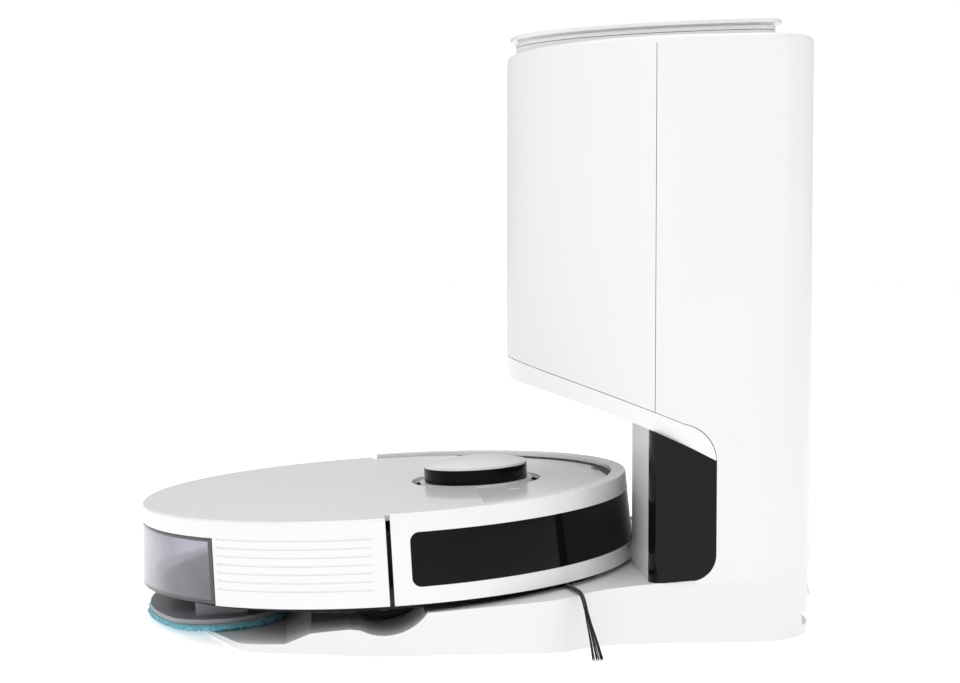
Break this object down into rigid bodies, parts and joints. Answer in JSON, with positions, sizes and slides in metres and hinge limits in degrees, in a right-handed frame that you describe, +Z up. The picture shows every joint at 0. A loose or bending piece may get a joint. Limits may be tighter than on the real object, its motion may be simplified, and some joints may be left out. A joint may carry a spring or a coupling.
{
  "type": "robot vacuum with station",
  "caption": "Round mopping robot vacuum with laser turret, docked nose-in on a tall self-emptying station with ramp, dust tower and hinged lid.",
  "frame": {"origin": "centre of the whole footprint, on the floor", "axes": "+Z up, +X the way the robot drives into the station, +Y to its left"},
  "size_m": [0.47, 0.4012, 0.4139],
  "materials": {
    "white_shell": "satin white moulded plastic",
    "white_gloss": "polished white plastic",
    "black_panel": "polished black plastic",
    "dark_window": "infrared-dark plastic",
    "black_plastic": "fine-grained black plastic",
    "grey_plastic": "grey plastic",
    "tyre_rubber": "black tread rubber",
    "soft_rubber": "soft black rubber",
    "bristle": "black nylon bristle",
    "mop_cloth": "looped microfibre",
    "bag_fleece": "filter fleece",
    "bag_card": "stiff card",
    "brass_contact": "plated contact",
    "steel": "steel",
    "board": "coated circuit board",
    "cell_wrap": "shrink wrap",
    "tank_tint": "smoked plastic"
  },
  "bodies": {
    "station": {"station_base": "white_shell", "bottom_cover": "white_shell", "rubber_feet": "soft_rubber", "port_seal": "soft_rubber", "front_cover": "white_shell", "rear_shell": "white_shell", "tower_screws": "steel", "chin_strip": "white_gloss", "neck_panel": "black_panel", "neck_front": "white_shell", "top_frame": "white_shell", "lid_pins": "steel", "bag_chamber": "grey_plastic", "air_duct": "grey_plastic", "bag_plate": "bag_card", "dust_bag": "bag_fleece", "station_fan": "black_plastic", "station_board": "board", "power_inlet": "black_plastic"},
    "lid": {"lid": "white_gloss"},
    "contact_left": {"contact_left": "brass_contact"},
    "contact_right": {"contact_right": "brass_contact"},
    "robot": {"robot_shell": "white_gloss", "chassis": "black_plastic", "charge_pads": "steel", "cliff_sensors": "dark_window", "brush_guard": "grey_plastic", "brush_gearbox": "grey_plastic", "side_brush_motor_left": "black_plastic", "side_brush_motor_right": "black_plastic", "turret_base": "white_gloss", "fan_unit": "black_plastic", "battery": "cell_wrap", "main_board": "board", "dust_bin": "tank_tint", "dust_filter": "bag_fleece"},
    "flap": {"flap": "white_gloss"},
    "power_button": {"power_button": "white_gloss"},
    "bumper": {"bumper": "white_gloss", "bumper_window": "dark_window"},
    "lidar": {"lidar_rotor": "black_plastic"},
    "turret": {"turret_window": "dark_window", "turret_cap": "white_gloss"},
    "castor_fork": {"castor_fork": "grey_plastic"},
    "castor_wheel": {"castor_wheel": "white_shell"},
    "main_brush": {"main_brush": "soft_rubber"},
    "side_brush_left": {"side_brush_left": "grey_plastic", "side_bristles_left": "bristle"},
    "side_brush_right": {"side_brush_right": "grey_plastic", "side_bristles_right": "bristle"},
    "wheel_module_left": {"wheel_module_left": "black_plastic"},
    "wheel_module_right": {"wheel_module_right": "black_plastic"},
    "drive_left": {"drive_wheel_left": "grey_plastic", "tyre_left": "tyre_rubber"},
    "drive_right": {"drive_wheel_right": "grey_plastic", "tyre_right": "tyre_rubber"},
    "water_tank": {"water_tank": "tank_tint", "tank_plug": "soft_rubber"},
    "mop": {"mop_plate": "grey_plastic", "mop_pad": "mop_cloth"}
  },
  "joints": [
    {"name": "robot_undock", "type": "slide", "parent": "station", "child": "robot", "axis": [-1, 0, 0], "range_m": [0, 0.42], "deforming": ["side_bristles_left", "side_bristles_right"]},
    {"name": "lid_hinge", "type": "hinge", "parent": "station", "child": "lid", "pos_m": [0.2025, 0, 0.4045], "axis": [0, 1, 0], "range_deg": [0, 85]},
    {"name": "contact_left_press", "type": "slide", "parent": "station", "child": "contact_left", "axis": [0.0558, 0, -0.9984], "range_m": [0, 0.002], "stiffness_N_per_m": 300, "springref_m": -0.001},
    {"name": "contact_right_press", "type": "slide", "parent": "station", "child": "contact_right", "axis": [0.0558, 0, -0.9984], "range_m": [0, 0.002], "stiffness_N_per_m": 300, "springref_m": -0.001},
    {"name": "flap_hinge", "type": "hinge", "parent": "robot", "child": "flap", "pos_m": [0.00217, 0, 0.08949], "axis": [0, -1, 0], "range_deg": [0, 35]},
    {"name": "power_button_press", "type": "slide", "parent": "flap", "child": "power_button", "axis": [0.0558, 0, -0.9984], "range_m": [0, 0.0006], "stiffness_N_per_m": 500, "springref_m": -0.001},
    {"name": "bumper_press", "type": "slide", "parent": "robot", "child": "bumper", "axis": [-0.9984, 0, -0.0558], "range_m": [0, 0.0025], "stiffness_N_per_m": 500, "springref_m": -0.002},
    {"name": "turret_press", "type": "slide", "parent": "robot", "child": "turret", "axis": [0.0558, 0, -0.9984], "range_m": [0, 0.0008], "stiffness_N_per_m": 800, "springref_m": -0.001},
    {"name": "lidar_spin", "type": "hinge", "parent": "robot", "child": "lidar", "pos_m": [0.00431, 0, 0.0816], "axis": [-0.0558, 0, 0.9984], "continuous": true},
    {"name": "castor_swivel", "type": "hinge", "parent": "robot", "child": "castor_fork", "pos_m": [0.06303, 0, 0.03981], "axis": [-0.0558, 0, 0.9984], "continuous": true},
    {"name": "castor_roll", "type": "hinge", "parent": "castor_fork", "child": "castor_wheel", "pos_m": [0.05854, 0, 0.03054], "axis": [0, 1, 0], "continuous": true},
    {"name": "main_brush_spin", "type": "hinge", "parent": "robot", "child": "main_brush", "pos_m": [-0.03701, 0, 0.03772], "axis": [0, 1, 0], "continuous": true},
    {"name": "side_brush_left_spin", "type": "hinge", "parent": "robot", "child": "side_brush_left", "pos_m": [0.04939, 0.108, 0.03304], "axis": [-0.0558, 0, 0.9984], "continuous": true, "deforming": ["side_bristles_left"]},
    {"name": "wheel_left_swing", "type": "hinge", "parent": "robot", "child": "wheel_module_left", "pos_m": [-0.03193, 0.092, 0.05453], "axis": [0, 1, 0], "range_deg": [0, 4], "stiffness_Nm_per_rad": 4, "springref_deg": -5.73},
    {"name": "wheel_left_roll", "type": "hinge", "parent": "wheel_module_left", "child": "drive_left", "pos_m": [-0.0676, 0.112, 0.04753], "axis": [0, 1, 0], "continuous": true},
    {"name": "side_brush_right_spin", "type": "hinge", "parent": "robot", "child": "side_brush_right", "pos_m": [0.04939, -0.108, 0.03304], "axis": [-0.0558, 0, 0.9984], "continuous": true, "deforming": ["side_bristles_right"]},
    {"name": "wheel_right_swing", "type": "hinge", "parent": "robot", "child": "wheel_module_right", "pos_m": [-0.03193, -0.092, 0.05453], "axis": [0, 1, 0], "range_deg": [0, 4], "stiffness_Nm_per_rad": 4, "springref_deg": -5.73},
    {"name": "wheel_right_roll", "type": "hinge", "parent": "wheel_module_right", "child": "drive_right", "pos_m": [-0.0676, -0.112, 0.04753], "axis": [0, 1, 0], "continuous": true},
    {"name": "tank_pull", "type": "slide", "parent": "robot", "child": "water_tank", "axis": [-0.9984, 0, -0.0558], "range_m": [0, 0.13]},
    {"name": "mop_pull", "type": "slide", "parent": "robot", "child": "mop", "axis": [-0.9984, 0, -0.0558], "range_m": [0, 0.03]}
  ]
}
